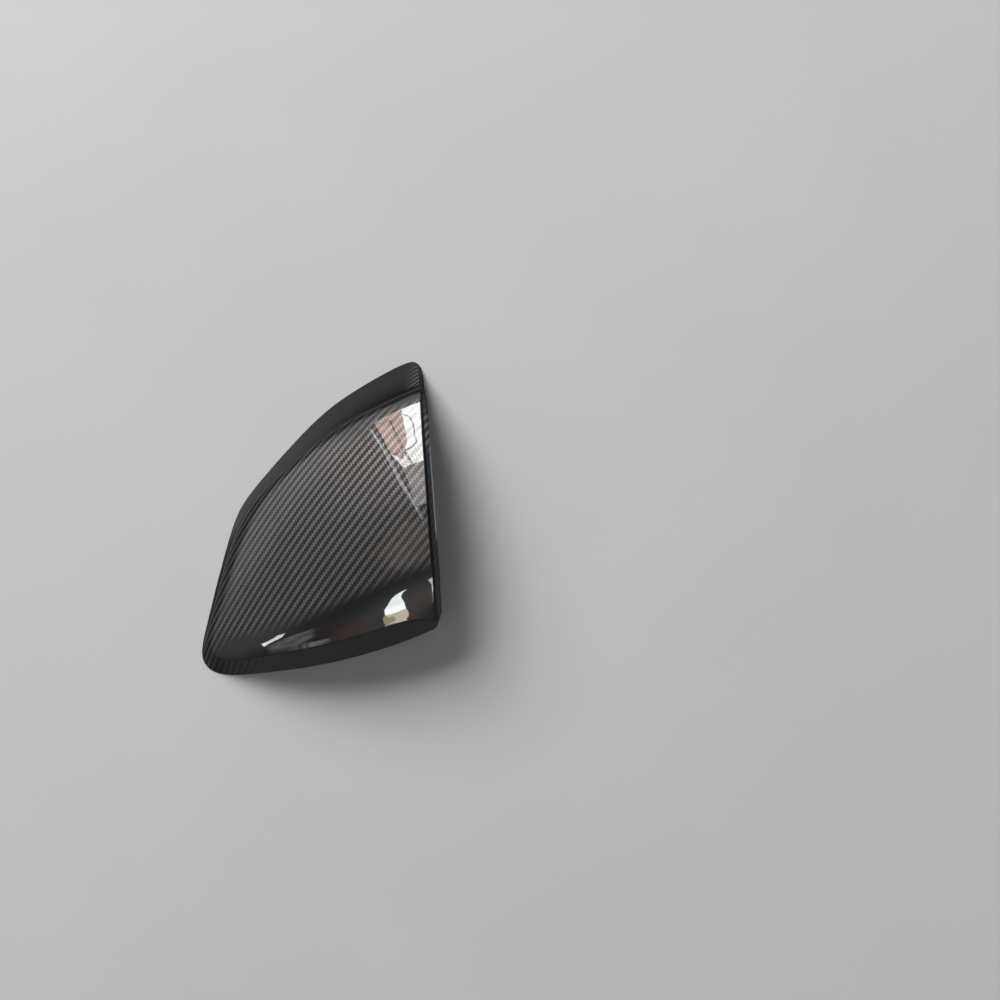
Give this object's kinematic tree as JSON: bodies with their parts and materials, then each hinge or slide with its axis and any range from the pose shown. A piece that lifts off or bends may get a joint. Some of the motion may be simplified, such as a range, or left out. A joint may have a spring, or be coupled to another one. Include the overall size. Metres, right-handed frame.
{
  "type": "wing mirror cover",
  "caption": "Left-hand wing mirror cover: a crowned carbon fibre shell with a swept edge band, a rolled lower edge and a narrow flange on its straight open side.",
  "frame": {"origin": "centre of the bounding box in plan, on the rim plane", "axes": "+Z from the open rim to the crown, +Y along the straight open side to the pointed end, +X towards the straight side"},
  "size_m": [0.1774, 0.2304, 0.07],
  "materials": {
    "carbon_laminate": "twill carbon fibre under clear gloss lacquer outside, satin black inside"
  },
  "bodies": {
    "root": {"mirror_cover": "carbon_laminate"}
  },
  "joints": []
}
